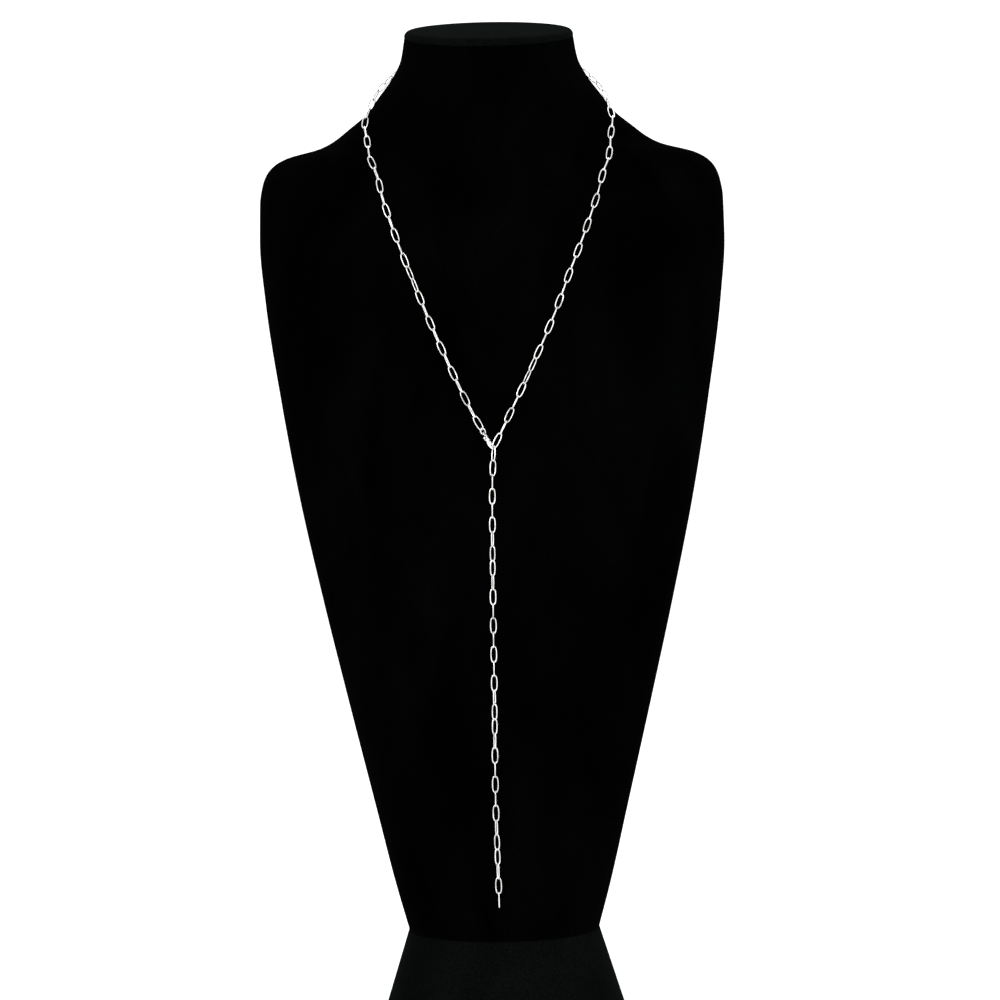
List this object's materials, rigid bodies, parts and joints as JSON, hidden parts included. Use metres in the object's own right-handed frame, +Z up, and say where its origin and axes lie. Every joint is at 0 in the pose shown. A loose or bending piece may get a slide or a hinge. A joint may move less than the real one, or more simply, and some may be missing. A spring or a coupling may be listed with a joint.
{
  "type": "y necklace on a neck bust",
  "caption": "Long chain of oval links that a lobster clasp hooks into a Y with a hanging end, worn on a tall velvet-covered neck bust with a flared foot.",
  "frame": {"origin": "middle of the foot's flat underside", "axes": "+Z up, -Y the way the chest faces, +X to the right as seen from the front"},
  "size_m": [0.237, 0.1579, 0.5045],
  "materials": {
    "velvet": "matt black velvet with a soft sheen at its edges",
    "silver": "polished silver"
  },
  "bodies": {
    "bust_with_chain": {"bust_torso": "velvet", "bust_foot": "velvet", "neck_cap": "velvet", "neck_chain": "silver", "drop_chain": "silver", "jump_ring": "silver", "clasp_body": "silver"},
    "lever": {"clasp_lever": "silver"}
  },
  "joints": [
    {"name": "clasp_lever", "type": "hinge", "parent": "bust_with_chain", "child": "lever", "pos_m": [-0.00387, -0.01833, 0.29041], "axis": [-0.7691, 0.3594, -0.5285], "range_deg": [0, 12], "stiffness_Nm_per_rad": 0.001}
  ]
}
